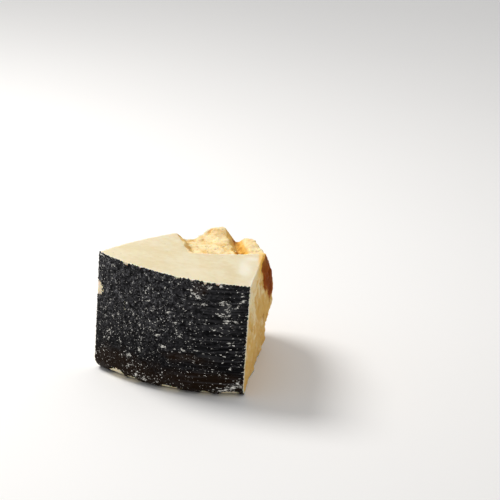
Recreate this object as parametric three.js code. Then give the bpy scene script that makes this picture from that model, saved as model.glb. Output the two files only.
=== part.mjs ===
// A wedge of pecorino romano, cut low from a black-rinded wheel.
// The rind wall is part of the wheel's side and turns under at the heel. The top is a cut face that falls a
// little to the right and to the back. The left side is one slightly bowed cut. The right side and the tip
// were broken off: they are lumpy, and behind a straight lip the top has sunk into crags with a cleft.
// Plan coordinates are millimetres from the wheel's axis: x to the right, y away from the rind, z up.
import * as THREE from "three";

// The wheel that the wedge comes from
const WHEEL_RADIUS = 136.6;
const HEEL_RADIUS = 11; // round under the rind, where the wheel's side meets its flat face
const HEIGHT_ON_AXIS = 92.4; // from the base to the cut top, on the wheel's axis
const TOP_FALL_X = 0.064; // fall of the cut top to the right, per millimetre
const TOP_FALL_Y = 0.037; // fall of the cut top to the back, per millimetre

// Corners of the plan
const LEFT_CORNER_ANGLE = 224.0; // degrees round the wheel, where the left cut meets the rind
const RIGHT_CORNER_ANGLE = 280.4; // where the broken right side meets the rind
const LEFT_TIP = [-3, 15]; // end of the left cut
const LEFT_CUT_BOW = 6; // how far the left cut stands out at its middle
const RIGHT_REAR = [35.6, -30]; // where the right side turns into the broken tip
const TIP_CROWN = [24, 6]; // the broken tip goes round past this point

// The sunken, broken part of the top
const LIP_Y = -60.3; // where the lip crosses x = 0
const LIP_SLOPE = 0.39; // the lip runs away from the rind as it goes right
const LIP_RUN = 6; // width of the fall behind the lip
const BREAK_LEFT = { x: -31, lean: -0.26, run: 11 }; // the break's left end at the lip, its lean, its fall
const BREAK_WOBBLE = { out: 1.3, size: 11 }; // how far the edge of the break wanders
const BREAK_DEPTH = 7; // mean depth of the broken ground under the cut top
const CLEFT = { near: [18, -56], far: [10, 16], depth: 8, width: 7.5, wander: 1.5, wanderLength: 8 };
const CRESTS = [
  { x: -8, y: 12, rise: 8.5, reach: 14 }, // rear crag, up to the level of the top
  { x: 25, y: 3, rise: 3, reach: 8 }, // lower crag beside the cleft
];

// Lumps (+) and hollows (-) of the broken side: distance from the right corner round the side, height over
// the base, how far they stand out, and their half sizes along the side and up
const SIDE_FORMS = [
  { around: 107, up: 55, out: 7.5, length: 13, height: 25 }, // rear crag
  { around: 88, up: 42, out: 4.5, length: 15, height: 17 }, // lump below the hollow
  { around: 83, up: 76, out: -4.5, length: 12, height: 15 }, // hollow under the top edge
  { around: 104, up: 6, out: 2.6, length: 14, height: 14 }, // toe of the rear crag
  { around: 45, up: 30, out: 1.8, length: 22, height: 20 }, // low swelling near the rind
  { around: 133, up: 30, out: 4, length: 10, height: 18 }, // lumps and a hollow round the tip
  { around: 152, up: 62, out: 3.6, length: 9, height: 14 },
  { around: 142, up: 84, out: -3.2, length: 7, height: 12 },
];
const SIDE_GRAIN = { out: 1.5, size: 17 }; // smaller lumps all over the broken side
const TOP_CRAG = { out: 1.5, size: 13 }; // crags on the broken ground
const CREASES = { part: 0.5, finer: 2.1, shift: 9 }; // creases between lumps: share, fineness, shift
const CUT_WAVE = { out: 0.45, size: 30 }; // slight waves of cut faces and rind
const FADE = 9; // relief runs out to nothing over this distance to a clean edge
const EDGE_RELIEF = 2; // the broken side keeps the relief that it has this far below its top edge
const SEED = 4.7;

// Mesh density
const ACROSS = 44; // steps from the left side to the right side
const BACK = 40; // steps from the rind to the tip
const HEEL_STEPS = 4;
const WALL_STEPS = 11;
const HALVINGS = 30;

const PASTE_COLOUR = 0xeadfb9;
const PASTE_ROUGHNESS = 0.62;

const { lerp, degToRad, smoothstep } = THREE.MathUtils;
const bell = (value) => Math.exp(-value * value);

// Goes from 0 to 1 as a value goes from 0 to a width.
const fadeIn = (value, width) => smoothstep(value, 0, width);

// Smooth noise from -1 to 1, with a seeded value at each corner of a unit lattice. Where a pattern lies on a
// face, the third coordinate only picks a layer, so that faces don't repeat one another.
function latticeValue(i, j, k) {
  const scrambled = Math.sin(i * 127.1 + j * 311.7 + k * 74.7 + SEED) * 43758.5453;
  return 2 * (scrambled - Math.floor(scrambled)) - 1;
}

function noise(x, y, z) {
  const [i, j, k] = [x, y, z].map(Math.floor);
  const [u, v, w] = [x - i, y - j, z - k].map((part) => part * part * (3 - 2 * part));
  const edge = (dj, dk) => lerp(latticeValue(i, j + dj, k + dk), latticeValue(i + 1, j + dj, k + dk), u);
  const face = (dk) => lerp(edge(0, dk), edge(1, dk), v);
  return lerp(face(0), face(1), w);
}

// Two octaves of noise over a face, the finer one folded so that it makes creases between lumps
function lumps(along, up, size) {
  const [x, y] = [along / size, up / size];
  const folded = 1 - 2 * Math.abs(noise(CREASES.finer * x + CREASES.shift, CREASES.finer * y, 0));
  return noise(x, y, 0) + CREASES.part * folded;
}

// The plan's sides, as curves: the left cut from rind to tip, and the broken side from the rind along the
// right and round the tip to the left cut's end
const polar = (radius, angle) => new THREE.Vector2(radius * Math.cos(angle), radius * Math.sin(angle));
const leftCorner = polar(WHEEL_RADIUS, degToRad(LEFT_CORNER_ANGLE));
const rightCorner = polar(WHEEL_RADIUS, degToRad(RIGHT_CORNER_ANGLE));
const leftTip = new THREE.Vector2(...LEFT_TIP);
const rightRear = new THREE.Vector2(...RIGHT_REAR);

const leftChord = leftTip.clone().sub(leftCorner).normalize();
const leftBow = new THREE.Vector2(-leftChord.y, leftChord.x).multiplyScalar(2 * LEFT_CUT_BOW);
const leftMiddle = leftCorner.clone().lerp(leftTip, 0.5).add(leftBow);
const leftCut = new THREE.QuadraticBezierCurve(leftCorner, leftMiddle, leftTip);

const alongRight = (part) => rightCorner.clone().lerp(rightRear, part);
const brokenPoints = [0, 1 / 3, 2 / 3, 1].map(alongRight);
brokenPoints.push(new THREE.Vector2(...TIP_CROWN), leftTip);
const brokenSide = new THREE.SplineCurve(brokenPoints);
const REAR_AT = 3 / 5; // the curve's parameter at the fourth of its six points
const leftLength = leftCut.getLength();
const brokenLength = brokenSide.getLength();

// Depth of the broken ground under the plane of the cut top
function sinkAt(x, y) {
  const wobble = BREAK_WOBBLE.out * noise(x / BREAK_WOBBLE.size, y / BREAK_WOBBLE.size, 3);
  const pastLip = y - (LIP_Y + LIP_SLOPE * x) + wobble;
  const pastLeft = x - (BREAK_LEFT.x + BREAK_LEFT.lean * (y - LIP_Y)) + wobble;
  const broken = fadeIn(pastLip, LIP_RUN) * fadeIn(pastLeft, BREAK_LEFT.run);
  const along = (y - CLEFT.near[1]) / (CLEFT.far[1] - CLEFT.near[1]);
  const wander = CLEFT.wander * noise(y / CLEFT.wanderLength, 5, 1);
  const fromCleft = x - lerp(CLEFT.near[0], CLEFT.far[0], along) + wander;
  let depth = BREAK_DEPTH + CLEFT.depth * Math.max(0, 1 - Math.abs(fromCleft) / CLEFT.width);
  for (const crest of CRESTS) {
    depth -= crest.rise * bell(Math.hypot(x - crest.x, y - crest.y) / crest.reach);
  }
  depth -= TOP_CRAG.out * lumps(x, y, TOP_CRAG.size);
  return broken * Math.max(0, depth);
}

function topSurface(x, y) {
  const plane = HEIGHT_ON_AXIS - TOP_FALL_X * x - TOP_FALL_Y * y;
  return plane + CUT_WAVE.out * noise(x / CUT_WAVE.size, y / CUT_WAVE.size, 5) - sinkAt(x, y);
}

// How far the broken side stands out, at a distance round from the right corner and a height
function brokenRelief(around, z, top) {
  let out = SIDE_GRAIN.out * lumps(around, z, SIDE_GRAIN.size);
  for (const form of SIDE_FORMS) {
    out += form.out * bell((around - form.around) / form.length) * bell((z - form.up) / form.height);
  }
  const fromEnds = fadeIn(around, FADE) * fadeIn(brokenLength - around, FADE);
  return out * fromEnds * fadeIn(top - z + EDGE_RELIEF, FADE);
}

// Slight wave of a clean face, which leaves its two upright edges alone
function cleanRelief(along, length, z) {
  const fromEnds = fadeIn(along, FADE) * fadeIn(length - along, FADE);
  return CUT_WAVE.out * noise(along / CUT_WAVE.size, z / CUT_WAVE.size, length) * fromEnds;
}

// How far the rind has turned in, at a height over the base
function heelInset(z) {
  const over = Math.max(0, HEEL_RADIUS - z);
  return HEEL_RADIUS - Math.sqrt(HEEL_RADIUS ** 2 - over ** 2);
}

// Where a side's curve crosses the rind's circle, as the curve's parameter: halving finds it between the
// curve's start and its middle.
function crossing(curve, radius) {
  let [outer, inner] = [0, 0.5];
  for (let step = 0; step < HALVINGS; step++) {
    const middle = (outer + inner) / 2;
    if (curve.getPoint(middle).length() > radius) outer = middle;
    else inner = middle;
  }
  return inner;
}

// A curve's point, moved out. Outside is to the right of a curve that goes round the plan anticlockwise, and
// to the left of one that goes round clockwise.
function standOut(curve, t, out, anticlockwise) {
  const tangent = curve.getTangent(t);
  const normal = new THREE.Vector2(tangent.y, -tangent.x).multiplyScalar(anticlockwise ? out : -out);
  return curve.getPoint(t).add(normal);
}

// A point of the outline at a height: u runs from the left cut (0) to the broken side (1), and v from the
// rind (0) to the tip (1). Either u or v is 0 or 1.
function outline(u, v, z, top) {
  const radius = WHEEL_RADIUS - heelInset(z);
  if (u === 0) {
    const t = lerp(crossing(leftCut, radius), 1, v);
    return standOut(leftCut, t, cleanRelief(t * leftLength, leftLength, z), false);
  }
  if (u === 1 || v === 1) {
    const t = u === 1 ? lerp(crossing(brokenSide, radius), REAR_AT, v) : lerp(1, REAR_AT, u);
    return standOut(brokenSide, t, brokenRelief(t * brokenLength, z, top), true);
  }
  const from = leftCut.getPoint(crossing(leftCut, radius)).angle();
  const to = brokenSide.getPoint(crossing(brokenSide, radius)).angle();
  const length = (to - from) * WHEEL_RADIUS;
  return polar(radius + cleanRelief(u * length, length, z), lerp(from, to, u));
}

// The steps of the plan's border, anticlockwise from the left corner
const border = [];
for (let i = 0; i < ACROSS; i++) border.push([i, 0]);
for (let j = 0; j < BACK; j++) border.push([ACROSS, j]);
for (let i = ACROSS; i > 0; i--) border.push([i, BACK]);
for (let j = BACK; j > 0; j--) border.push([0, j]);

// Height of a level of the wall: the heel in equal angles, then equal steps up to the top edge
function levelHeight(level, top) {
  if (level < HEEL_STEPS) return HEEL_RADIUS * (1 - Math.cos((level / HEEL_STEPS) * (Math.PI / 2)));
  return lerp(HEEL_RADIUS, top, (level - HEEL_STEPS) / WALL_STEPS);
}

// The walls, as one ring of points for each level, from the base up
function wallRings() {
  const tops = border.map(([i, j]) => {
    const foot = outline(i / ACROSS, j / BACK, HEIGHT_ON_AXIS, HEIGHT_ON_AXIS);
    return topSurface(foot.x, foot.y);
  });
  const rings = [];
  for (let level = 0; level <= HEEL_STEPS + WALL_STEPS; level++) {
    rings.push(
      border.map(([i, j], place) => {
        const z = levelHeight(level, tops[place]);
        const point = outline(i / ACROSS, j / BACK, z, tops[place]);
        return new THREE.Vector3(point.x, point.y, z);
      }),
    );
  }
  for (const point of rings.at(-1)) point.z = topSurface(point.x, point.y);
  return rings;
}

// A point inside the top, blended from the four edges round it
function insideTop(i, j, edgePoint) {
  const [u, v] = [i / ACROSS, j / BACK];
  const blend = (low, high, part) => low.clone().lerp(high, part);
  const across = blend(edgePoint(0, j), edgePoint(ACROSS, j), u);
  const back = blend(edgePoint(i, 0), edgePoint(i, BACK), v);
  const front = blend(edgePoint(0, 0), edgePoint(ACROSS, 0), u);
  const rear = blend(edgePoint(0, BACK), edgePoint(ACROSS, BACK), u);
  const point = across.add(back).sub(blend(front, rear, v));
  point.z = topSurface(point.x, point.y);
  return point;
}

// The order of a cell's corners that puts its diagonal along the crease which crosses it
function alongCrease(corners) {
  const middle = corners.reduce((sum, point) => sum.add(point), new THREE.Vector3()).multiplyScalar(1 / 4);
  const height = topSurface(middle.x, middle.y);
  const miss = (p, q) => Math.abs((corners[p].z + corners[q].z) / 2 - height);
  return miss(0, 2) <= miss(1, 3) ? [0, 1, 2, 3] : [1, 2, 3, 0];
}

function wedgeGeometry() {
  const rings = wallRings();
  const points = rings.flat();
  const faces = [];
  const size = border.length;
  const quad = (a, b, c, d) => faces.push(a, b, c, a, c, d);

  for (let level = 0; level + 1 < rings.length; level++) {
    for (let place = 0; place < size; place++) {
      const next = (place + 1) % size;
      const [low, high] = [level * size, (level + 1) * size];
      quad(low + place, low + next, high + next, high + place);
    }
  }

  const foot = rings[0].map((point) => new THREE.Vector2(point.x, point.y));
  for (const [a, b, c] of THREE.ShapeUtils.triangulateShape(foot, [])) faces.push(a, c, b);

  const topStart = (rings.length - 1) * size;
  const grid = new Map(border.map(([i, j], place) => [`${i},${j}`, topStart + place]));
  const edgePoint = (i, j) => points[grid.get(`${i},${j}`)];
  for (let i = 1; i < ACROSS; i++) {
    for (let j = 1; j < BACK; j++) {
      points.push(insideTop(i, j, edgePoint));
      grid.set(`${i},${j}`, points.length - 1);
    }
  }
  for (let i = 0; i < ACROSS; i++) {
    for (let j = 0; j < BACK; j++) {
      const cell = [[i, j], [i + 1, j], [i + 1, j + 1], [i, j + 1]].map((corner) => grid.get(corner.join()));
      quad(...alongCrease(cell.map((index) => points[index])).map((place) => cell[place]));
    }
  }

  const geometry = new THREE.BufferGeometry().setFromPoints(points);
  geometry.setIndex(faces);
  geometry.computeVertexNormals();
  geometry.computeBoundingBox();
  return geometry;
}

// The wedge stands on its base, with the origin under the middle of its box.
function pecorinoWedge() {
  const material = new THREE.MeshStandardMaterial({
    color: PASTE_COLOUR,
    roughness: PASTE_ROUGHNESS,
    metalness: 0,
  });
  const mesh = new THREE.Mesh(wedgeGeometry(), material);
  mesh.name = "pecorino_wedge";
  const box = mesh.geometry.boundingBox;
  mesh.position.set(-(box.min.x + box.max.x) / 2, -(box.min.y + box.max.y) / 2, -box.min.z);
  return mesh;
}

const cheese = new THREE.Group();
cheese.add(pecorinoWedge());

export default cheese;
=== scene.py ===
"""Dresses a solid wedge of pecorino romano: cream paste, broken on one side, under a black rind coat."""

import math
import random

import bmesh
import bpy
from bpy.props import FloatProperty, FloatVectorProperty, IntProperty, PointerProperty
from mathutils import Matrix, Vector, noise
from mathutils.bvhtree import BVHTree
from mathutils.kdtree import KDTree


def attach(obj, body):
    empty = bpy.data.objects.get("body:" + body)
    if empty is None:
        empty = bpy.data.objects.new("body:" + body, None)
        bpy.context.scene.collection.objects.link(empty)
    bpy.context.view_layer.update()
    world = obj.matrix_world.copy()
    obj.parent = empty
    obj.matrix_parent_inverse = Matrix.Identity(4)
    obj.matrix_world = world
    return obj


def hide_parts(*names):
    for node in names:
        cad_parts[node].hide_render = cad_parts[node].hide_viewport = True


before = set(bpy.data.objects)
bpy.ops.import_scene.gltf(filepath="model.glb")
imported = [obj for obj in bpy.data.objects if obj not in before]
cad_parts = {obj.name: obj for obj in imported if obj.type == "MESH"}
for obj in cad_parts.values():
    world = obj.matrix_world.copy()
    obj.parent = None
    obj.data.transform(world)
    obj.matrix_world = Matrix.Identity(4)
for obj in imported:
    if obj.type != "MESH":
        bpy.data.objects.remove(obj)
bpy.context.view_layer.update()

bl_info = {
    "name": "Pecorino romano wedge",
    "version": (1, 0, 0),
    "blender": (4, 5, 0),
    "location": "3D View > Sidebar > Pecorino",
    "description": "Gives a solid wedge of pecorino romano its paste, black rind coat, crumbs and stage",
    "category": "Object",
}

# The solid's name, the body that the pieces are attached to, units, the sharp angle and the upward way
SOLID = "pecorino_wedge"
BODY = "root"
MM = 0.001
SHARP_ANGLE = math.radians(38.0)
UP = Vector((0.0, 0.0, 1.0))

# In millimetres: spacing of the points along sharp edges, distances at which points of the solid and of
# the grid are joined, and thickness of the coat on the underside
EDGE_STEP = 0.1
SOLID_JOIN = 0.01
GRID_JOIN = 0.05
UNDER_COAT = 0.3

# Sizes of the forms on broken paste in millimetres, and the layers of noise that they are drawn from
CRAG_SIZE = 8.0
CRAG_LAYER = 3.0
CHIP_SIZE = 3.1
CHIP_LAYER = 9.0
GRAIN_SIZE = 1.3

# How often the grid of broken paste is softened, and how broken it is where it is made finer and softer
SOFTENINGS = 6
FINER_FROM = 0.05
SOFTER_FROM = 0.6

# The wheel that the wedge was cut from, in millimetres and degrees
WHEEL_RADIUS = 136.6
HEEL_RADIUS = 11.0
LEFT_CORNER_ANGLE = 224.0
HEIGHT_ON_AXIS = 92.4
TOP_FALL_X = 0.064
TOP_FALL_Y = 0.037

# The rind wall's length round the wheel, its height, and how far its two ends run on for each
# millimetre that the heel turns in
WALL_LENGTH = 134.5
WALL_HEIGHT = 106.0
LEFT_HEEL_RUN = -0.26
RIGHT_HEEL_RUN = 0.37

# Where along the wall the coat's grains begin to lie in rows, and where they all do
ROWS_START = 60.0
ROWS_FULL = 115.0

# The left cut's end and bow, and the lip behind which the top is broken, in the wheel's plan
LEFT_TIP = Vector((-3.0, 15.0))
LEFT_CUT_BOW = 6.0
LIP_Y = -60.3
LIP_SLOPE = 0.39
BREAK_LEFT_X = -31.0
BREAK_LEFT_LEAN = -0.26

# The cleft of the broken ground and the hollow of the broken side, which get painted shade and a painted
# brown shadow, and the place beside the top edge where a glow of light through the paste is painted, with
# their half sizes
CLEFT_NEAR = Vector((18.0, -22.0))
CLEFT_FAR = Vector((9.0, 14.0))
CLEFT_WIDTH = 3.2
HOLLOW_MIDDLE = Vector((38.0, -35.0, 72.5))
HOLLOW_SIZE = Vector((40.0, 11.5, 23.0))
GLOW_MIDDLE = Vector((32.0, -61.0, 89.0))
GLOW_SIZE = Vector((12.0, 26.0, 10.0))

# Where crumbs lie: from left to right, how far past the lip, the smallest size, and the least upward turn
# of the ground that holds one
CRUMBS_FROM_X = -28.0
CRUMBS_TO_X = 30.0
CRUMBS_PAST_LIP = 2.0
CRUMBS_SPREAD = 40.0
SMALLEST_CRUMB = 0.5
LEVEL_ENOUGH = 0.6

# The key light's place, size and colour
KEY_PLACE = (-0.75, 0.35, 1.05)
KEY_SIZE = 0.55
KEY_COLOUR = (1.0, 0.975, 0.94)

# Patches of the cut top in the wheel's plan, whiter (+) or darker (-): middle, half sizes and strength
TOP_PATCHES = (
    (19.0, -92.0, 7.0, 22.0, 1.0),
    (26.0, -64.0, 7.0, 6.0, 0.7),
    (6.0, -94.0, 6.0, 14.0, -0.8),
    (-40.0, -70.0, 12.0, 10.0, -0.3),
    (-66.0, -72.0, 16.0, 12.0, -0.5),
    (-22.0, -112.0, 12.0, 7.0, 0.4),
    (11.0, -112.0, 6.0, 3.0, -0.7),
)

# Where the coat has come off: place along the wall from its left corner, height, and half sizes
CHIPS = (
    (0.5, 71.4, 6.8, 6.4),
    (24.0, 3.0, 9.0, 5.5),
    (39.0, 1.5, 7.0, 4.2),
    (74.0, 1.5, 10.0, 3.8),
    (104.0, 1.2, 6.0, 3.2),
    (124.0, 2.0, 10.0, 3.8),
)

# Notches of the coat's top rim: place along the wall, half width and depth
RIM_NOTCHES = (
    (30.0, 2.6, 2.3),
    (43.5, 1.4, 1.0),
    (76.0, 2.0, 2.0),
    (88.0, 1.4, 1.4),
    (99.0, 1.3, 3.2),
    (103.5, 1.1, 1.4),
    (109.0, 1.5, 1.8),
)

# Pale flakes of the coat: place along the wall, height, half length, half width, and tilt in degrees
FLAKES = (
    (4.0, 100.3, 4.5, 0.8, -2),
    (33.0, 67.5, 1.0, 1.4, 0),
    (40.0, 60.0, 1.0, 1.0, 0),
    (36.0, 78.0, 1.3, 0.8, -50),
    (25.0, 56.0, 1.2, 1.0, 0),
    (52.5, 74.5, 2.4, 0.7, 20),
    (70.5, 68.5, 2.2, 0.8, 25),
    (77.0, 60.5, 1.3, 1.2, 0),
    (88.5, 90.0, 1.3, 1.0, 0),
    (90.5, 87.3, 2.6, 1.1, -5),
    (94.0, 84.5, 3.0, 1.5, -20),
    (103.0, 94.0, 2.4, 1.2, 30),
    (111.5, 95.5, 1.7, 1.3, -20),
    (113.0, 81.5, 2.8, 1.5, 10),
    (118.0, 80.5, 2.6, 1.2, -30),
    (117.0, 75.0, 2.4, 1.0, -40),
    (115.0, 70.5, 4.2, 0.8, 0),
    (118.0, 66.5, 2.8, 0.9, -10),
    (125.0, 78.0, 2.6, 0.9, 40),
    (130.0, 84.0, 2.4, 1.0, 30),
    (125.0, 66.0, 2.6, 1.0, -15),
    (98.0, 79.0, 3.4, 1.0, 0),
    (108.0, 58.5, 2.4, 1.0, -15),
    (67.5, 38.5, 3.0, 1.3, -8),
    (84.5, 38.0, 2.5, 0.8, -10),
    (37.5, 24.0, 2.6, 1.4, 20),
    (37.5, 15.0, 1.3, 1.1, 0),
    (47.0, 31.0, 1.0, 2.4, 15),
    (46.0, 52.5, 1.0, 1.8, 10),
    (62.0, 47.0, 2.2, 1.1, 20),
    (45.0, 9.0, 1.1, 2.2, 0),
    (52.0, 6.0, 2.5, 1.3, -10),
    (123.0, 25.5, 1.2, 1.2, 0),
    (126.0, 9.5, 3.4, 2.2, 30),
    (121.0, 7.0, 2.2, 2.0, 0),
    (130.0, 13.0, 1.6, 2.8, 15),
    (116.0, 5.5, 2.6, 1.3, 10),
)

# Worn patches of the coat, with many pale grains (+), or clean ones (-): place along the wall, height,
# half sizes and strength
WORN_PATCHES = (
    (14.0, 52.0, 16.0, 12.0, 0.30),
    (8.0, 88.0, 8.0, 8.0, 0.20),
    (30.0, 38.0, 14.0, 8.0, 0.30),
    (52.0, 52.0, 16.0, 12.0, 0.30),
    (66.0, 72.0, 14.0, 12.0, 0.15),
    (45.0, 14.0, 14.0, 9.0, 0.60),
    (88.0, 44.0, 12.0, 9.0, 0.45),
    (97.0, 94.0, 9.0, 5.0, 0.40),
    (119.0, 76.0, 12.0, 11.0, 0.60),
    (127.0, 88.0, 8.0, 8.0, 0.35),
    (120.0, 50.0, 14.0, 9.0, 0.25),
    (125.0, 8.0, 11.0, 6.0, 1.20),
    (114.0, 20.0, 12.0, 7.0, 0.20),
    (108.0, 89.0, 8.0, 4.0, -0.50),
    (18.0, 14.0, 10.0, 9.0, -0.60),
    (100.0, 32.0, 16.0, 5.0, -0.50),
    (78.0, 76.0, 14.0, 10.0, -0.10),
)

# Browner patches of the coat, the low ones a painted warm reflection from below: place along the wall,
# height, half sizes and strength
BROWN_PATCHES = (
    (22.0, 8.0, 24.0, 15.0, 1.2),
    (96.0, 92.0, 6.0, 5.0, 1.4),
    (86.0, 32.0, 22.0, 4.0, 0.7),
    (112.0, 12.0, 24.0, 10.0, 0.7),
    (80.0, 4.0, 70.0, 17.0, 0.9),
)


# Sums on numbers and points

def blend(low, high, part):
    return low + (high - low) * part


def ease(value, start, end):
    """Goes smoothly from 0 at start to 1 at end."""
    part = min(max((value - start) / (end - start), 0.0), 1.0)
    return part * part * (3 - 2 * part)


def bell(value):
    """Falls from 1 at 0 to almost 0 at 2 and at -2."""
    return math.exp(-value * value)


def wall_outward(along):
    """The way out of the wheel at a place along the wall."""
    angle = math.radians(LEFT_CORNER_ANGLE) + along / WHEEL_RADIUS
    return Vector((math.cos(angle), math.sin(angle), 0.0))


def from_left_corner():
    """The wheel's axis in the solid's frame, found from the upright edge of the left corner."""
    corner = min((vertex.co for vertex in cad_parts[SOLID].data.vertices), key=lambda co: co.x)
    angle = math.radians(LEFT_CORNER_ANGLE)
    reach = WHEEL_RADIUS * MM
    return Vector((corner.x - reach * math.cos(angle), corner.y - reach * math.sin(angle), 0.0))


WHEEL_AXIS = from_left_corner()
LEFT_CORNER = wall_outward(0.0).xy * WHEEL_RADIUS


def on_wheel(co):
    """A point in millimetres from the wheel's axis and the base."""
    return (co - WHEEL_AXIS) / MM


def wall_radius(height):
    """The wheel's radius at a height, which grows round the heel."""
    over = max(0.0, HEEL_RADIUS - height)
    return WHEEL_RADIUS - HEEL_RADIUS + math.sqrt(HEEL_RADIUS ** 2 - over ** 2)


def below_top(place):
    """How far a point lies under the plane of the cut top."""
    return HEIGHT_ON_AXIS - TOP_FALL_X * place.x - TOP_FALL_Y * place.y - place.z


def behind_left_cut(place):
    """How far a point lies inside the bowed left cut."""
    chord = LEFT_TIP - LEFT_CORNER
    part = (place.xy - LEFT_CORNER).dot(chord) / chord.length_squared
    outward = Vector((-chord.y, chord.x)).normalized()
    bow = 4 * LEFT_CUT_BOW * max(0.0, part * (1 - part))
    return bow - (place.xy - LEFT_CORNER).dot(outward)


def open_ground(place):
    """1 where the top has broken away behind the lip, 0 on the cut top."""
    past_lip = place.y - LIP_Y - LIP_SLOPE * place.x
    past_left = place.x - BREAK_LEFT_X - BREAK_LEFT_LEAN * (place.y - LIP_Y)
    return ease(past_lip, 0.4, 2.5) * ease(past_left, 0.5, 4)


def brokenness(place, normal):
    """1 on broken ground and the broken side, 0 on the cut faces, the wall and the underside."""
    if place.z < 0.6 and normal.z < -0.3:
        return 0.0
    opened = open_ground(place)
    inside_wall = wall_radius(place.z) - place.xy.length
    clear = ease(behind_left_cut(place), 1.0, 5.0) * ease(inside_wall, 1.0, 6.0) * ease(place.z, 0.0, 2.5)
    if normal.z > 0.55 and below_top(place) < 22:
        return opened * clear
    return clear * max(opened, ease(below_top(place), 0.3, 5.0))


def facets(point, size, layer):
    """Flat chips of broken paste, each tipped its own way, mostly from -1 to 1."""
    spot = point / size + Vector((layer, 0.0, 0.0))
    distances, centres = noise.voronoi(spot)

    def chip(centre):
        tip = noise.cell_vector(centre * 7.3) * 2 - Vector((1.0, 1.0, 1.0))
        return tip.dot(spot - centre) + 0.6 * tip.x

    own, other = chip(centres[0]), chip(centres[1])
    return blend((own + other) / 2, own, ease(distances[1] - distances[0], 0.0, 0.3))


def reach_from(place, middle, size):
    """How far out a place lies from the middle of a long round form: 1 on its outline."""
    away = place - middle
    return Vector(away[i] / size[i] for i in range(3)).length


def patches_at(x, y, patches):
    """The sum of soft patches, each with its middle, half sizes and strength."""
    return sum(
        strength * bell(math.hypot((x - middle_x) / half_x, (y - middle_y) / half_y))
        for middle_x, middle_y, half_x, half_y, strength in patches
    )


def solid_tree():
    """The solid's faces, to find heights and nearest points on."""
    mesh = bmesh.new()
    mesh.from_mesh(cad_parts[SOLID].data)
    tree = BVHTree.FromBMesh(mesh)
    mesh.free()
    return tree


def surface_below(tree, point):
    """The place and normal that a line straight down from 1 m over a point meets first."""
    place, normal, _, _ = tree.ray_cast(point + UP, -UP)
    return place, normal


# Settings that a user would change

class PasteSettings(bpy.types.PropertyGroup):
    grid: FloatProperty(
        name="Grid", description="Size of the paste's mesh cells, halved on broken ground",
        default=1.36 * MM, unit="LENGTH")
    crag: FloatProperty(
        name="Crags", description="Height of the larger chips of broken paste",
        default=0.90 * MM, unit="LENGTH")
    chip: FloatProperty(
        name="Chips", description="Height of the smaller chips", default=0.36 * MM, unit="LENGTH")
    grain: FloatProperty(
        name="Grain", description="Height of the grain on the chips", default=0.16 * MM, unit="LENGTH")
    streak: FloatProperty(
        name="Streaks", description="Height of the upright streaks of the broken side",
        default=0.36 * MM, unit="LENGTH")
    wave: FloatProperty(
        name="Cut waves", description="Height of the slight waves of cut faces",
        default=0.12 * MM, unit="LENGTH")
    cut: FloatVectorProperty(
        name="Cut paste", description="Colour of the cut faces", subtype="COLOR",
        default=(0.775, 0.690, 0.485))
    cut_deep: FloatVectorProperty(
        name="Yellower cut paste", description="Colour of the mottling of cut faces", subtype="COLOR",
        default=(0.725, 0.615, 0.385))
    # Used for whitish patches and for edges that are partly dry paste and partly a painted highlight
    dry_and_highlight: FloatVectorProperty(
        name="Dry paste", description="Colour of dry edges and whitish patches", subtype="COLOR",
        default=(0.92, 0.88, 0.77))
    broken: FloatVectorProperty(
        name="Broken paste", description="Colour of broken ground", subtype="COLOR",
        default=(0.76, 0.46, 0.13))
    ridge: FloatVectorProperty(
        name="Ridges", description="Colour of the ridges of broken ground", subtype="COLOR",
        default=(0.93, 0.76, 0.44))
    # Painted glow: this orange stands in for light coming through thin paste
    painted_glow: FloatVectorProperty(
        name="Amber", description="Colour of broken paste where light comes through it", subtype="COLOR",
        default=(0.93, 0.50, 0.05))
    # Painted shadow: this brown stands in for shade in the broken side's hollow and in the cleft
    painted_shadow_brown: FloatVectorProperty(
        name="Hollows", description="Colour of the hollows of broken ground", subtype="COLOR",
        default=(0.32, 0.064, 0.002))


class RindSettings(bpy.types.PropertyGroup):
    coat: FloatProperty(
        name="Coat", description="How far the coat stands out from the paste",
        default=0.3 * MM, unit="LENGTH")
    thickness: FloatProperty(
        name="Thickness", description="Thickness of the coat's shell", default=0.9 * MM, unit="LENGTH")
    cell: FloatProperty(
        name="Cell", description="Size of the coat's mesh cells", default=0.60 * MM, unit="LENGTH")
    pebble: FloatProperty(
        name="Pebbles", description="Height of the coat's pebbles", default=0.30 * MM, unit="LENGTH")
    black: FloatVectorProperty(
        name="Coat black", description="Colour of the coat", subtype="COLOR",
        default=(0.0014, 0.0014, 0.0019))
    # Partly a painted warm reflection, low on the coat
    brown: FloatVectorProperty(
        name="Coat brown", description="Colour of the browner patches of the coat", subtype="COLOR",
        default=(0.0105, 0.0042, 0.0008))
    # Painted sheen: this grey stands in for light on pebbles, swellings and ribs
    sheen_grey: FloatVectorProperty(
        name="Charcoal", description="Colour of the greyer swellings of the coat", subtype="COLOR",
        default=(0.105, 0.105, 0.114))
    grey: FloatVectorProperty(
        name="Grey lines", description="Colour of the coat's thin grey lines", subtype="COLOR",
        default=(0.30, 0.30, 0.31))
    # Used for worn grains and flakes, and for small grains that are partly painted glints
    pale: FloatVectorProperty(
        name="Pale grains", description="Colour of the coat's pale, worn grains", subtype="COLOR",
        default=(0.90, 0.88, 0.82))


class CrumbSettings(bpy.types.PropertyGroup):
    count: IntProperty(name="Crumbs", description="Crumbs on the broken ground", default=110, min=0)
    largest: FloatProperty(
        name="Largest", description="Size of the largest crumb", default=2.0 * MM, unit="LENGTH")
    seed: IntProperty(name="Seed", description="Start of the random draw", default=7)


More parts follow.
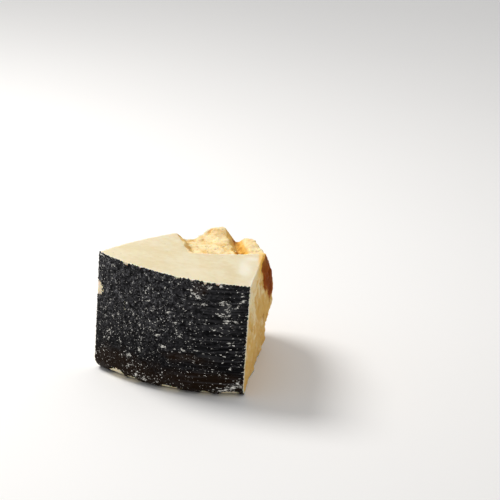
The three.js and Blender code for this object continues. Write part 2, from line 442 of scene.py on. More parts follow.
class StageSettings(bpy.types.PropertyGroup):
    floor: FloatVectorProperty(
        name="Floor", description="Colour of the floor", subtype="COLOR", default=(0.94, 0.935, 0.93))
    floor_size: FloatProperty(name="Floor size", description="Side of the floor", default=14.0, unit="LENGTH")
    key: FloatProperty(name="Key light", description="Power of the key light", default=14.0, unit="POWER")
    sky: FloatProperty(
        name="Surrounding light", description="Strength of the white surroundings", default=0.53)
    lens: FloatProperty(
        name="Lens", description="Focal length on a 36 mm sensor, in millimetres", default=129.6)
    camera_place: FloatVectorProperty(
        name="Camera", description="Where the camera stands", subtype="XYZ",
        default=(0.04944, -1.3880, 0.6020), unit="LENGTH")
    camera_down: FloatProperty(
        name="Camera tilt", description="How far down the camera looks", subtype="ANGLE",
        default=math.radians(19.9))
    camera_roll: FloatProperty(
        name="Camera roll", description="How far the camera is turned about its line of sight",
        subtype="ANGLE", default=math.radians(4.08))


class PecorinoSettings(bpy.types.PropertyGroup):
    paste: PointerProperty(type=PasteSettings)
    rind: PointerProperty(type=RindSettings)
    crumbs: PointerProperty(type=CrumbSettings)
    stage: PointerProperty(type=StageSettings)


# Materials

class Socket:
    """A value, colour or vector of a material, on which sums are written as in Python."""

    def __init__(self, finish, link):
        self.finish = finish
        self.link = link

    def __add__(self, other):
        return self.finish.maths("ADD", self, other)

    def __sub__(self, other):
        return self.finish.maths("SUBTRACT", self, other)

    def __rsub__(self, other):
        return self.finish.maths("SUBTRACT", other, self)

    def __mul__(self, other):
        return self.finish.maths("MULTIPLY", self, other)

    def __lt__(self, other):
        return self.finish.maths("LESS_THAN", self, other)

    def __abs__(self):
        return self.finish.maths("ABSOLUTE", self)

    __radd__ = __add__
    __rmul__ = __mul__


class Finish:
    """A material in the making, with the one method that adds a node to it."""

    def __init__(self, name):
        self.material = bpy.data.materials.new(name)
        self.material.use_nodes = True
        self.tree = self.material.node_tree
        self.tree.nodes.clear()

    def add(self, kind, settings=None, values=None, output=0):
        """Adds a node of a kind, gives it its settings and then its sockets' values or links."""
        node = self.tree.nodes.new(kind)
        for name, setting in (settings or {}).items():
            setattr(node, name, setting)
        for name, value in (values or {}).items():
            socket = node.inputs[name]
            if isinstance(value, Socket):
                self.tree.links.new(value.link, socket)
            else:
                socket.default_value = value
        return Socket(self, node.outputs[output]) if node.outputs else None

    def maths(self, operation, *values):
        """What a Math node makes of values or links."""
        return self.add("ShaderNodeMath", {"operation": operation}, dict(enumerate(values)))

    def attribute(self, name):
        """A value stored on the piece's points."""
        return self.add("ShaderNodeAttribute", {"attribute_name": name}, output="Fac")

    def places(self, scale=(1.0, 1.0, 1.0)):
        """Object coordinates in millimetres from the wheel's axis, stretched by a scale."""
        place = self.add("ShaderNodeTexCoord", output="Object")
        moved = self.add("ShaderNodeVectorMath", {"operation": "SUBTRACT"}, {0: place, 1: WHEEL_AXIS})
        return self.stretched(moved, [part / MM for part in scale])

    def stretched(self, where, scale):
        """Places stretched by a scale along each axis."""
        return self.add("ShaderNodeVectorMath", {"operation": "MULTIPLY"}, {0: where, 1: scale})

    def clouds(self, where, size, detail=2.0, rough=0.5):
        """Noise of about a size in millimetres, from 0 to 1."""
        values = {"Vector": where, "Scale": 1 / size, "Detail": detail, "Roughness": rough}
        return self.add("ShaderNodeTexNoise", None, values)

    def pushed(self, where, size, reach):
        """Places pushed about by noise of a size, up to a reach, in millimetres."""
        push = self.add("ShaderNodeTexNoise", None, {"Vector": where, "Scale": 1 / size}, output="Color")
        values = {0: push, 1: (2 * reach, 2 * reach, 2 * reach), 2: where}
        return self.add("ShaderNodeVectorMath", {"operation": "MULTIPLY_ADD"}, values)

    def between(self, value, low, high):
        """Goes smoothly from 0 where a value is low to 1 where it is high."""
        values = {"Value": value, "From Min": low, "From Max": high}
        return self.add("ShaderNodeMapRange", {"interpolation_type": "SMOOTHSTEP"}, values)

    def mix(self, part, first, second):
        """A colour between two colours."""
        colours = {6: first, 7: second}
        for place, colour in colours.items():
            if not isinstance(colour, Socket):
                colours[place] = (*colour, 1.0)
        return self.add("ShaderNodeMix", {"data_type": "RGBA"}, {0: part, **colours}, output=2)

    def shade(self, colour, part):
        """A colour made darker by a value from 0, black, to 1."""
        return self.mix(part, (0.0, 0.0, 0.0), colour)

    def spots(self, where, size):
        """Scattered spots: the distance from the nearest spot's middle, and three chances of its own."""
        cells = {"Vector": where, "Scale": 1 / size}
        distance = self.add("ShaderNodeTexVoronoi", None, cells, output="Distance")
        colour = self.add("ShaderNodeTexVoronoi", None, cells, output="Color")
        chances = [self.add("ShaderNodeSeparateColor", None, {"Color": colour}, output=i) for i in range(3)]
        return distance, chances

    def grains(self, where, size, share, small, large):
        """Grains in a share of the cells of a size: 0 beside a grain and 1 on it, and its own chance."""
        distance, chances = self.spots(where, size)
        reach = small + chances[1] * (large - small)
        return self.between(distance - reach, 0.08, -0.08) * (chances[0] < share), chances[2]

    def close(self, colour, roughness, height, constants):
        """Ends the material with its shader. The height of the relief is in millimetres."""
        bump = self.add("ShaderNodeBump", None, {"Strength": 1.0, "Distance": MM, "Height": height})
        values = {"Base Color": colour, "Roughness": roughness, "Normal": bump, **constants}
        shader = self.add("ShaderNodeBsdfPrincipled", {"subsurface_method": "RANDOM_WALK"}, values)
        self.add("ShaderNodeOutputMaterial", None, {"Surface": shader})
        return self.material


def paste_finish(settings):
    """Cream paste: faintly mottled where cut, whitish on edges that are partly dry paste and partly a painted
    highlight, grainy and deeper yellow where broken, with painted shade, a painted brown shadow and a painted
    glow on broken paste.
    """
    finish = Finish("paste")
    place = finish.places()
    broken = finish.attribute("broken")
    # Painted shade of broken paste, stored on the points
    hollow = finish.attribute("hollow")
    pale = finish.attribute("pale")
    edge = finish.attribute("edge")
    painted_glow = finish.attribute("painted_glow")

    # Cut faces, with faint lines drawn across them and whitish edges, partly dry paste and partly a painted
    # highlight
    mottle = finish.clouds(place, 24.0, 3.0) * 0.5 + finish.clouds(place, 5.0, 3.0) * 0.5
    drag = finish.clouds(finish.places((0.12, 0.7, 0.7)), 1.3, 2.0)
    deeper = finish.between(mottle + (drag - 0.5) * 0.15 - pale * 0.22, 0.38, 0.66)
    cut = finish.mix(deeper, settings.cut, settings.cut_deep)
    whitish = finish.between(pale + (mottle - 0.5) * 0.9, 0.15, 1.0) * 0.6
    dry_edge_and_highlight = edge * finish.between(finish.clouds(place, 2.0, 2.0), 0.30, 0.55) * (1 - painted_glow) * 0.9
    cut = finish.mix(finish.maths("MAXIMUM", whitish, dry_edge_and_highlight), cut, settings.dry_and_highlight)

    # Broken ground, from pale ridges to deeper yellow by random tone and painted shade, with upright streaks
    grain = finish.clouds(place, 1.1, 3.0, 0.6)
    streak = finish.clouds(finish.places((0.5, 0.5, 0.12)), 1.0, 3.0)
    tone_and_painted_shade = hollow + (finish.clouds(place, 7.0, 3.0) - 0.5) * 0.45 + (grain - 0.5) * 0.14
    tone_and_painted_shade = tone_and_painted_shade + (streak - 0.5) * 0.38
    torn = finish.mix(finish.between(tone_and_painted_shade, 0.05, 0.50), settings.ridge, settings.broken)
    # Painted highlight: broken paste paler along sharp edges
    torn = finish.mix(edge * 0.5 * (1 - painted_glow), torn, settings.ridge)

    # Both together, then the painted glow, the painted brown shadow, more painted shade where it is deepest,
    # and small pits darkened with painted shade
    pits, _ = finish.grains(place, 3.0, 0.12 + broken * 0.08, 0.06, 0.15)
    colour = finish.mix(painted_glow, finish.mix(broken, cut, torn), settings.painted_glow)
    # Painted shadow, brown where the painted shade is deepest, then darker still
    painted_shadow_part = finish.between(tone_and_painted_shade, 0.62, 1.10) * broken * (1 - painted_glow * 0.6)
    colour = finish.mix(painted_shadow_part, colour, settings.painted_shadow_brown)
    colour = finish.shade(colour, 1 - finish.between(tone_and_painted_shade, 1.00, 1.50) * 0.30)
    # Painted shade in the small pits
    colour = finish.shade(colour, 1 - pits * 0.35)
    roughness = 0.50 + broken * 0.20 + (grain - 0.5) * 0.12

    fine = (grain - 0.5) * (0.05 + broken * 0.32)
    height = fine + (drag - 0.5) * (1 - broken) * 0.08 - pits * 0.30
    return finish.close(colour, roughness, height, {
        "Subsurface Weight": 0.30,
        "Subsurface Radius": (1.0, 0.50, 0.20),
        "Subsurface Scale": 5 * MM,
        "Specular IOR Level": 0.12,
    })


def rind_finish(settings):
    """Black coat: pebbles with a painted grey sheen, grey lines, and pale worn grains, partly painted glints,
    that run in rows on the right.
    """
    finish = Finish("rind_coat")
    worn = finish.attribute("worn")
    right = finish.attribute("right")
    up = finish.attribute("up")
    wall = finish.add("ShaderNodeCombineXYZ", None, {"X": finish.attribute("along"), "Y": up})
    rough_wall = finish.pushed(finish.pushed(wall, 1.6, 0.9), 0.7, 0.4)

    # The coat itself, browner low down, the brown partly a painted warm reflection, and with a painted grey
    # sheen on pebbles and swellings, most of all high on the left
    distance, chances = finish.spots(rough_wall, 2.1)
    pebble = finish.between(distance, 0.60, 0.15) * (0.25 + chances[0] * 0.75)
    swelling = finish.between(finish.clouds(rough_wall, 3.5, 3.0, 0.65), 0.36, 0.66)
    brown = finish.attribute("brown") + (finish.clouds(wall, 9.0) - 0.5) * 0.8
    coat = finish.mix(finish.between(brown, 0.1, 0.8), settings.black, settings.brown)
    # Painted sheen, strongest high on the left, where the light falls
    painted_sheen = (1.0 - right * 0.65) * (0.12 + finish.between(up, 10.0, 80.0) * 0.88)
    coat = finish.mix((pebble * 0.75 + swelling * 0.25) * painted_sheen, coat, settings.sheen_grey)

    # Ribs on the right, painted with a grey sheen in bands, along which the pale grains lie in rows
    bands = finish.clouds(finish.stretched(wall, (0.10, 1.0, 1.0)), 2.2, 2.0)
    ribbed = finish.between(bands, 0.50, 0.62) * right
    coat = finish.mix(ribbed * 0.22, coat, settings.sheen_grey)

    # Pale grains in two sizes, curled strokes and flakes, worn from the coat; the small grains are partly
    # painted glints
    clump = 0.20 + finish.between(finish.clouds(wall, 5.0, 2.0), 0.46, 0.62) * 1.4
    share = worn * clump * (1 - right * (1 - finish.between(bands, 0.44, 0.60)) * 0.85)
    small, small_chance = finish.grains(rough_wall, 1.7, share * 0.50 + 0.01, 0.13, 0.40)
    large, large_chance = finish.grains(rough_wall, 3.0, share * 0.60, 0.10, 0.34)
    curl = abs(finish.clouds(wall, 2.3, 1.0) - 0.5)
    bits = finish.clouds(rough_wall, 1.3, 1.0)
    more = share * 0.22
    stroke = finish.between(curl, 0.060, 0.030) * finish.between(bits, 0.66 - more, 0.72 - more)
    bare = finish.attribute("bare") + (finish.clouds(wall, 1.1, 3.0, 0.7) - 0.5) * 2.8
    flake = finish.between(bare, 0.58, 0.72)

    # Thin grey lines, under all that is pale, strongest where the painted sheen is
    creases = abs(finish.clouds(wall, 3.0, 2.0) - 0.5)
    line = finish.between(creases, 0.030, 0.008) * finish.between(finish.clouds(wall, 5.0, 1.0), 0.50, 0.60)

    colour = finish.mix(line * painted_sheen * 0.5, coat, settings.grey)
    colour = finish.mix(stroke * finish.between(bits, 0.48, 0.68), colour, settings.pale)
    colour = finish.mix(small * (small_chance * small_chance * 0.85 + 0.1), colour, settings.pale)
    colour = finish.mix(large * (large_chance * 0.75 + 0.25), colour, settings.pale)
    colour = finish.mix(flake * (0.45 + finish.between(bits, 0.40, 0.56) * 0.55), colour, settings.pale)

    grain = finish.clouds(wall, 0.6, 2.0, 0.6)
    raised = finish.maths("MAXIMUM", finish.maths("MAXIMUM", small * 0.5, large), flake)
    roughness = 0.46 + (grain - 0.5) * 0.25 + raised * 0.25
    height = pebble * 0.22 + raised * 0.20 + (grain - 0.5) * 0.14
    return finish.close(colour, roughness, height, {"Specular IOR Level": 0.04})


def floor_finish(settings):
    """A matt, pale floor with hardly any variation."""
    finish = Finish("floor")
    cloud = finish.clouds(finish.places(), 400.0, 1.0)
    darker = [part * 0.97 for part in settings.floor]
    return finish.close(finish.mix(cloud, settings.floor, darker), 0.7, cloud * 0.01, {})


# Meshes

def float_layers(mesh, *names):
    """New attributes on a mesh's points, by name."""
    return {name: mesh.verts.layers.float.new(name) for name in names}


def new_piece(name, mesh, material):
    """An object of a finished mesh, at the origin."""
    data = bpy.data.meshes.new(name)
    mesh.to_mesh(data)
    mesh.free()
    data.materials.append(material)
    piece = bpy.data.objects.new(name, data)
    bpy.context.scene.collection.objects.link(piece)
    return piece


def apply_modifiers(piece):
    """Replaces a piece's mesh by what its modifiers make of it."""
    graph = bpy.context.evaluated_depsgraph_get()
    finished = bpy.data.meshes.new_from_object(piece.evaluated_get(graph))
    piece.modifiers.clear()
    piece.data = finished


def merged_copy():
    """A copy of the solid's mesh with its loose triangles joined."""
    mesh = bmesh.new()
    mesh.from_mesh(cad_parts[SOLID].data)
    bmesh.ops.remove_doubles(mesh, verts=mesh.verts, dist=SOLID_JOIN * MM)
    for layer in list(mesh.loops.layers.uv):
        mesh.loops.layers.uv.remove(layer)
    return mesh


def sharp_edges():
    """Points along the solid's sharp edges that border a cut face."""
    mesh = merged_copy()
    mesh.normal_update()
    points = []
    for edge in mesh.edges:
        broken = min(brokenness(on_wheel(face.calc_center_median()), face.normal) for face in edge.link_faces)
        if broken < FINER_FROM and edge.calc_face_angle(0.0) > SHARP_ANGLE:
            first, second = (vertex.co for vertex in edge.verts)
            steps = math.ceil(edge.calc_length() / (EDGE_STEP * MM))
            points += [first.lerp(second, step / steps) for step in range(steps + 1)]
    mesh.free()
    tree = KDTree(len(points))
    for index, point in enumerate(points):
        tree.insert(point, index)
    tree.balance()
    return tree


def settle(mesh, faces, edges, reach):
    """Puts the grid back on the solid's faces, and on its sharp edges where they are within reach."""
    for vertex in mesh.verts:
        vertex.co = faces.find_nearest(vertex.co)[0]
        corner, _, away = edges.find(vertex.co)
        if away < reach:
            vertex.co = corner
    bmesh.ops.remove_doubles(mesh, verts=mesh.verts, dist=GRID_JOIN * MM)
    mesh.normal_update()


def even_grid(settings, faces, edges):
    """The solid as an even grid of small faces, with finer and softer ones where it is broken."""
    piece = new_piece("paste_grid", merged_copy(), None)
    remesh = piece.modifiers.new("grid", "REMESH")
    remesh.mode = "VOXEL"
    remesh.voxel_size = settings.grid
    apply_modifiers(piece)
    mesh = bmesh.new()
    mesh.from_mesh(piece.data)
    bpy.data.objects.remove(piece)
    settle(mesh, faces, edges, settings.grid * 0.5)

    open_faces = [
        face for face in mesh.faces
        if brokenness(on_wheel(face.calc_center_median()), face.normal) > FINER_FROM
    ]
    inner_edges = {edge for face in open_faces for edge in face.edges}
    bmesh.ops.subdivide_edges(mesh, edges=list(inner_edges), cuts=1, use_grid_fill=True)
    settle(mesh, faces, edges, settings.grid * 0.2)
    loose = [
        vertex for vertex in mesh.verts
        if brokenness(on_wheel(vertex.co), vertex.normal) > SOFTER_FROM
    ]
    for _ in range(SOFTENINGS):
        bmesh.ops.smooth_vert(
            mesh, verts=loose, factor=0.5, use_axis_x=True, use_axis_y=True, use_axis_z=True)
    mesh.normal_update()
    return mesh


def streak_at(place, normal):
    """Upright streaks of the broken side, from about -0.4 in a crease to 0.6 on a ridge."""
    tall = Vector((place.x / 2.4, place.y / 2.4, place.z / 10.0))
    return (0.6 - 2 * abs(noise.fractal(tall, 1.0, 2.0, 3))) * (1 - ease(normal.z, 0.3, 0.7))


def broken_relief(place, normal, settings):
    """Height of the relief of broken paste, in metres."""
    return (
        settings.crag * facets(place, CRAG_SIZE, CRAG_LAYER)
        + settings.chip * facets(place, CHIP_SIZE, CHIP_LAYER)
        + settings.grain * noise.fractal(place / GRAIN_SIZE, 1.0, 2.0, 3)
        + settings.streak * streak_at(place, normal)
    )


def painted_shadow_at(place, normal):
    """Painted shadow: 1 in the broken side's hollow, 0 outside it, and a little less than 0 on a painted
    light border below it.
    """
    rough = 0.30 * noise.fractal(Vector((place.x / 5.0, place.y / 5.0, place.z / 14.0)), 0.8, 2.0, 3)
    reach = reach_from(place, HOLLOW_MIDDLE, HOLLOW_SIZE) + rough
    border = bell((reach - 1.30) / 0.12) * ease(HOLLOW_MIDDLE.z - place.z, -4.0, 6.0)
    on_side = ease(normal.x, 0.0, 0.3) * ease(place.x, 24.0, 32.0)
    return ((1 - ease(reach, 0.66, 1.22)) - 0.16 * border) * on_side


def cleft_at(place):
    """Where the cleft of the broken ground gets painted shade and a painted glow: 1 in it, 0 well away from
    it.
    """
    line = CLEFT_FAR - CLEFT_NEAR
    part = min(max((place.xy - CLEFT_NEAR).dot(line) / line.length_squared, 0.0), 1.0)
    cleft = bell((place.xy - CLEFT_NEAR.lerp(CLEFT_FAR, part)).length / CLEFT_WIDTH)
    return cleft * ease(below_top(place), 4.0, 11.0) * (1 - ease(below_top(place), 16.0, 24.0))


def painted_glow_at(place, normal):
    """Painted glow of light coming through broken paste beside the top edge and round the hollow, from 0."""
    glow = bell(reach_from(place, GLOW_MIDDLE, GLOW_SIZE))
    ring = 0.8 * bell((reach_from(place, HOLLOW_MIDDLE, HOLLOW_SIZE) - 1.05) / 0.22)
    near_edge = 0.75 * ease(place.x, 28.8, 30.8)
    return max(glow, ring * ease(place.z, 68.0, 84.0)) * max(near_edge, ease(normal.x, 0.0, 0.4))


def hollow_at(place, normal, broken):
    """Painted shade of broken paste, from about 0 on pale ridges to 1 and more in the painted brown shadow of
    the hollow.

    The side gets deeper painted shade than the ground behind the lip, except high on its front."""
    coarse = 0.0
    if broken > 0:
        coarse = 0.20 * facets(place, CRAG_SIZE, CRAG_LAYER) + 0.12 * streak_at(place, normal)
    on_side = blend(0.52, 0.12, ease(place.z, 30.0, 88.0) * ease(-place.y, 30.0, 80.0))
    base = blend(0.17, on_side, ease(normal.x, 0.3, 0.8))
    # Painted shadow in the hollow and painted shade in the cleft
    return base - coarse + 0.85 * painted_shadow_at(place, normal) + 0.80 * cleft_at(place)


def carved_height(place, normal, broken, edge_away, settings):
    """Height of the paste's relief in metres, which fades out at the base."""
    relief = 0.0
    if broken > 0:
        relief = broken * broken_relief(place, normal, settings)
    wave = settings.wave * noise.fractal(place / 9.0, 1.0, 2.0, 3) * ease(edge_away, 0.0, 3.0)
    return (relief + (1 - broken) * wave) * ease(place.z, 0.0, 3.0)


def carve_paste(mesh, settings, edges):
    """Gives the paste its relief, makes room for the coat, and stores what its finish follows."""
    layers = float_layers(mesh, "broken", "hollow", "painted_glow", "pale", "edge")
    moves = []
    for vertex in mesh.verts:
        place, normal = on_wheel(vertex.co), vertex.normal
        broken = brokenness(place, normal)
        edge_away = edges.find(vertex.co)[2] / MM
        height = carved_height(place, normal, broken, edge_away, settings)
        on_wall = 1 - ease(wall_radius(place.z) - place.xy.length, 0.5, 1.5)
        moves.append(normal * (height - UNDER_COAT * MM * on_wall))
        vertex[layers["broken"]] = min(1.0, 3 * broken)
        # Painted shade of broken paste
        vertex[layers["hollow"]] = hollow_at(place, normal, broken)
        # Painted glow beside the top edge, round the painted shadow and in the cleft
        vertex[layers["painted_glow"]] = max(painted_glow_at(place, normal), 0.55 * cleft_at(place))
        vertex[layers["pale"]] = patches_at(place.x, place.y, TOP_PATCHES) * ease(normal.z, 0.7, 0.95)
        # Nearness to sharp edges, for whitish edges that are partly dry paste and partly a painted highlight
        vertex[layers["edge"]] = (1 - ease(edge_away, 0.2, 2.4)) * (1 - 0.55 * ease(place.x, 22.0, 30.0))
    for vertex, move in zip(mesh.verts, moves):
        vertex.co += move
        vertex.co.z = max(vertex.co.z, UNDER_COAT * MM)


def chip_at(along, height):
    """1 where the coat has come off, 0 where it is whole."""
    torn = 0.45 * noise.fractal(Vector((along / 1.3, height / 1.3, 4.0)), 0.8, 2.0, 3)
    most = 0.0
    for middle, level, half_width, half_height in CHIPS:
        away = math.hypot((along - middle) / half_width, (height - level) / half_height)
        most = max(most, 1 - ease(away + torn, 0.80, 0.95))
    return most


def bare_at(along, height):
    """1 in the middle of a pale flake, 0.5 on its outline and 0 well outside."""
    most = 0.0
    for middle, level, half_length, half_width, tilt in FLAKES:
        x = along - middle
        y = height - level
        if abs(x) + abs(y) < 2.5 * half_length + 2.5 * half_width:
            turn = math.radians(tilt)
            lengthwise = x * math.cos(turn) + y * math.sin(turn)
            across = y * math.cos(turn) - x * math.sin(turn)
            most = max(most, 1 - 0.5 * math.hypot(lengthwise / half_length, across / half_width))
    return most


def rim_height(along):
    """How far the coat's rim stands over the cut top, in millimetres; less than 0 where it has chipped."""
    rough = 1.15 * noise.fractal(Vector((along / 1.8, 1.0, 0.0)), 0.6, 2.0, 4)
    notched = sum(
        depth * bell((along - middle) / width)
        for middle, width, depth in RIM_NOTCHES
    )
    return rough - 0.10 - notched


def nibble(height, layer):
    """How far the coat stops short of the wall's end at a height, in millimetres."""
    return max(0.0, 0.40 + 0.8 * noise.fractal(Vector((layer, 0.0, height / 2.0)), 0.6, 2.0, 3))


def wear_at(along, height):
    """How worn the coat is, from almost 0 to 1."""
    cloud = noise.fractal(Vector((along / 7.0, height / 6.0, 2.0)), 1.0, 2.0, 3)
    worn = 0.07 + 0.30 * cloud + 0.60 * patches_at(along, height, WORN_PATCHES)
    return min(max(worn, 0.01), 1.0)


def drawn_out(along):
    """The place along the wall that patterns use, which runs on at half the rate where the coat has rows."""
    part = min(max((along - ROWS_START) / (ROWS_FULL - ROWS_START), 0.0), 1.0)
    run = (ROWS_FULL - ROWS_START) * (part ** 3 - part ** 4 / 2) + max(0.0, along - ROWS_FULL)
    return along - run / 2


def pebble_at(along, up):
    """Relief of the coat, from about -1 to 1: pebbles between creases, swellings, and ribs on the right."""
    right = ease(along, ROWS_START, ROWS_FULL)
    spot = Vector((drawn_out(along), up, 0.0))
    distances, _ = noise.voronoi(spot / 2.4)
    pebble = ease(distances[1] - distances[0], 0.0, 0.45) - 0.6
    swelling = noise.fractal(spot / 7.0, 1.0, 2.0, 3)
    fine = noise.fractal(spot / 1.2, 1.0, 2.0, 2)
    rib = math.sin(math.tau * (up + 1.2 * noise.noise(spot / 9.0)) / 4.3)
    return 0.8 * pebble + 0.7 * swelling + 0.4 * fine + 0.35 * rib * right


def wall_place(across, upward, rim):
    """A place on the wall and heel, its way out, and how far along and up the wall it lies.

    Across is 0 at the left corner and 1 at the right one, and upward is 0 at the base and 1 at the rim."""
    heel_arc = HEEL_RADIUS * math.pi / 2
    run = upward * (heel_arc + rim - HEEL_RADIUS)
    turn = min(run / HEEL_RADIUS, math.pi / 2)
    inward = HEEL_RADIUS * (1 - math.sin(turn))
    height = HEEL_RADIUS * (1 - math.cos(turn)) + max(0.0, run - heel_arc)
    left = LEFT_HEEL_RUN * inward + nibble(height, 3.0)
    right = WALL_LENGTH + RIGHT_HEEL_RUN * inward - nibble(height, 8.0)
    along = blend(left, right, across)
    outward = wall_outward(along)
    place = outward * (WHEEL_RADIUS - inward) + UP * height
    normal = outward * math.sin(turn) - UP * math.cos(turn)
    return place, normal, along, run - heel_arc + HEEL_RADIUS


def coat_sheet(settings):
    """The coat's face as a sheet of small cells, with pebbles, chips and a torn rim.

    The rim follows the height of the cut top 1 mm inside the wall."""
    tree = solid_tree()
    mesh = bmesh.new()
    columns = round(WALL_LENGTH * MM / settings.cell)
    rows = round(WALL_HEIGHT * MM / settings.cell)
    bmesh.ops.create_grid(mesh, x_segments=columns, y_segments=rows, size=0.5)
    layers = float_layers(mesh, "along", "up", "right", "worn", "bare", "brown")
    for vertex in mesh.verts:
        across, upward = vertex.co.x + 0.5, vertex.co.y + 0.5
        inside = (WHEEL_RADIUS - 1.0) * wall_outward(across * WALL_LENGTH) * MM
        rim = surface_below(tree, WHEEL_AXIS + inside)[0].z / MM
        place, normal, along, up = wall_place(across, upward, rim)
        near_rim = 1 - ease(rim - place.z, 0.0, 5.0)
        near_base = 1 - ease(place.z, 0.0, 2.0)
        out = settings.coat + settings.pebble * pebble_at(along, up) * (1 - 0.5 * near_rim)
        out = blend(max(out, 0.0), 0.0, near_base) - 1.5 * MM * chip_at(along, place.z)
        vertex.co = WHEEL_AXIS + place * MM + normal * out
        vertex.co.z = max(vertex.co.z + MM * near_rim * rim_height(along), 0.0)
        vertex[layers["along"]] = drawn_out(along)
        vertex[layers["up"]] = up
        vertex[layers["right"]] = ease(along, ROWS_START, ROWS_FULL)
        vertex[layers["worn"]] = wear_at(along, place.z)
        vertex[layers["bare"]] = bare_at(along, place.z)
        # Browner patches, the low ones a painted warm reflection
        vertex[layers["brown"]] = patches_at(along, place.z, BROWN_PATCHES)
    mesh.normal_update()
    return mesh


def underside_sheet():
    """The solid's flat underside, which the coat covers too, slightly worn."""
    mesh = merged_copy()
    mesh.normal_update()
    others = [face for face in mesh.faces if face.normal.z > -0.99 or face.calc_center_median().z > 0.1 * MM]
    bmesh.ops.delete(mesh, geom=others, context="FACES")
    layers = float_layers(mesh, "along", "up", "worn")
    for vertex in mesh.verts:
        vertex[layers["along"]] = vertex.co.x / MM
        vertex[layers["up"]] = vertex.co.y / MM
        vertex[layers["worn"]] = 0.12
    return mesh


def crumb(mesh, middle, size, draw):
    """One lumpy crumb, stretched and turned by chance."""
    made = bmesh.ops.create_icosphere(mesh, subdivisions=1 if size < 1.0 * MM else 2, radius=size / 2)
    stretch = Vector([draw.uniform(0.65, 1.25), draw.uniform(0.65, 1.1), draw.uniform(0.5, 0.85)])
    turn = Matrix.Rotation(draw.uniform(0, math.tau), 3, "Z")
    turn = turn @ Matrix.Rotation(draw.uniform(-0.6, 0.6), 3, "X")
    layer = draw.uniform(0, 50)
    for vertex in made["verts"]:
        lump = 1 + 0.35 * noise.noise(vertex.co / size * 2.6 + Vector((layer, 0, 0)))
        vertex.co = middle + turn @ (vertex.co * lump * stretch)


# Operators

class PECORINO_OT_paste(bpy.types.Operator):
    """Makes the paste over the solid, which it replaces"""

    bl_idname = "pecorino.paste"
    bl_label = "Paste"

    def execute(self, context):
        settings = context.scene.pecorino.paste
        edges = sharp_edges()
        mesh = even_grid(settings, solid_tree(), edges)
        carve_paste(mesh, settings, edges)
        bmesh.ops.recalc_face_normals(mesh, faces=mesh.faces)
        piece = new_piece("paste", mesh, paste_finish(settings))
        piece.data.shade_smooth()
        piece.data.set_sharp_from_angle(angle=SHARP_ANGLE)
        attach(piece, BODY)
        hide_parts(SOLID)
        return {"FINISHED"}


class PECORINO_OT_rind(bpy.types.Operator):
    """Makes the black coat on the rind wall, the heel and the underside"""

    bl_idname = "pecorino.rind"
    bl_label = "Rind coat"

    def execute(self, context):
        settings = context.scene.pecorino.rind
        material = rind_finish(settings)
        sheets = (
            ("rind_coat", coat_sheet(settings), settings.thickness),
            ("rind_underside", underside_sheet(), UNDER_COAT * MM),
        )
        for name, mesh, thickness in sheets:
            piece = new_piece(name, mesh, material)
            shell = piece.modifiers.new("thickness", "SOLIDIFY")
            shell.thickness = thickness
            shell.offset = -1
            apply_modifiers(piece)
            piece.data.shade_smooth()
            piece.data.set_sharp_from_angle(angle=SHARP_ANGLE)
            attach(piece, BODY)
        return {"FINISHED"}


class PECORINO_OT_crumbs(bpy.types.Operator):
    """Scatters crumbs over the broken ground, most of them along the lip"""

    bl_idname = "pecorino.crumbs"
    bl_label = "Crumbs"

    def execute(self, context):
        settings = context.scene.pecorino.crumbs
        draw = random.Random(settings.seed)
        paste = bpy.data.objects["paste"]
        tree = BVHTree.FromObject(paste, context.evaluated_depsgraph_get())
        mesh = bmesh.new()
        for _ in range(settings.count):
            x = draw.uniform(CRUMBS_FROM_X, CRUMBS_TO_X)
            past_lip = CRUMBS_PAST_LIP + CRUMBS_SPREAD * draw.random() ** 2
            place = Vector((x, LIP_Y + LIP_SLOPE * x + past_lip, 0.0))
            ground, normal = surface_below(tree, place * MM + WHEEL_AXIS)
            size = blend(SMALLEST_CRUMB * MM, settings.largest, draw.random() ** 2.5)
            if normal.z > LEVEL_ENOUGH:
                crumb(mesh, ground + UP * size * 0.15, size, draw)
        piece = new_piece("crumbs", mesh, bpy.data.materials["paste"])
        # Crumbs take the broken paste's colour with a little painted shade
        for name, value in (("broken", 0.8), ("hollow", 0.15)):
            layer = piece.data.attributes.new(name, "FLOAT", "POINT")
            layer.data.foreach_set("value", [value] * len(piece.data.vertices))
        piece.data.shade_smooth()
        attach(piece, BODY)
        return {"FINISHED"}


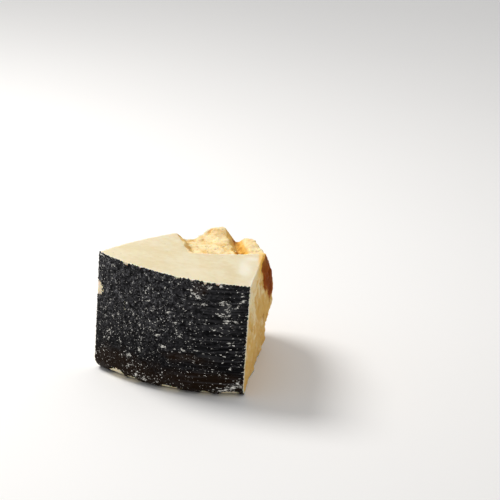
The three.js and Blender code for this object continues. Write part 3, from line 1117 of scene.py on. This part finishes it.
class PECORINO_OT_stage(bpy.types.Operator):
    """Makes the pale floor, the soft studio light and the camera"""

    bl_idname = "pecorino.stage"
    bl_label = "Stage"

    def execute(self, context):
        settings = context.scene.pecorino.stage
        scene = context.scene
        mesh = bmesh.new()
        bmesh.ops.create_grid(mesh, x_segments=1, y_segments=1, size=settings.floor_size / 2)
        floor = new_piece("floor", mesh, floor_finish(settings))

        light = bpy.data.lights.new("key", "AREA")
        light.shape = "DISK"
        light.size = KEY_SIZE
        light.energy = settings.key
        light.color = KEY_COLOUR
        key = bpy.data.objects.new("key", light)
        key.location = KEY_PLACE
        key.rotation_euler = (-key.location).to_track_quat("-Z", "Y").to_euler()
        scene.collection.objects.link(key)

        world = bpy.data.worlds.new("surroundings")
        world.use_nodes = True
        surroundings = world.node_tree.nodes["Background"]
        surroundings.inputs["Color"].default_value = (1.0, 1.0, 1.0, 1.0)
        surroundings.inputs["Strength"].default_value = settings.sky
        scene.world = world
        scene.view_settings.view_transform = "Standard"

        camera = bpy.data.objects.new("camera", bpy.data.cameras.new("camera"))
        camera.data.sensor_width = 36.0
        camera.data.lens = settings.lens
        tilt = Matrix.Rotation(math.pi / 2 - settings.camera_down, 4, "X")
        roll = Matrix.Rotation(settings.camera_roll, 4, "Z")
        camera.matrix_world = Matrix.Translation(settings.camera_place) @ tilt @ roll
        scene.collection.objects.link(camera)
        scene.camera = camera
        return {"FINISHED"}


class PECORINO_PT_panel(bpy.types.Panel):
    """The wedge's steps and settings"""

    bl_idname = "PECORINO_PT_panel"
    bl_label = "Pecorino romano"
    bl_space_type = "VIEW_3D"
    bl_region_type = "UI"
    bl_category = "Pecorino"

    def draw(self, context):
        settings = context.scene.pecorino
        for operator, group in STEPS:
            box = self.layout.box()
            box.operator(operator)
            values = getattr(settings, group)
            for name in values.__annotations__:
                box.prop(values, name)


STEPS = (
    ("pecorino.paste", "paste"),
    ("pecorino.rind", "rind"),
    ("pecorino.crumbs", "crumbs"),
    ("pecorino.stage", "stage"),
)

CLASSES = (
    PasteSettings,
    RindSettings,
    CrumbSettings,
    StageSettings,
    PecorinoSettings,
    PECORINO_OT_paste,
    PECORINO_OT_rind,
    PECORINO_OT_crumbs,
    PECORINO_OT_stage,
    PECORINO_PT_panel,
)


def register():
    for each in CLASSES:
        bpy.utils.register_class(each)
    bpy.types.Scene.pecorino = PointerProperty(type=PecorinoSettings)


def unregister():
    del bpy.types.Scene.pecorino
    for each in reversed(CLASSES):
        bpy.utils.unregister_class(each)


def main():
    register()
    bpy.ops.pecorino.paste()
    bpy.ops.pecorino.rind()
    bpy.ops.pecorino.crumbs()
    bpy.ops.pecorino.stage()


if __name__ == "__main__":
    main()
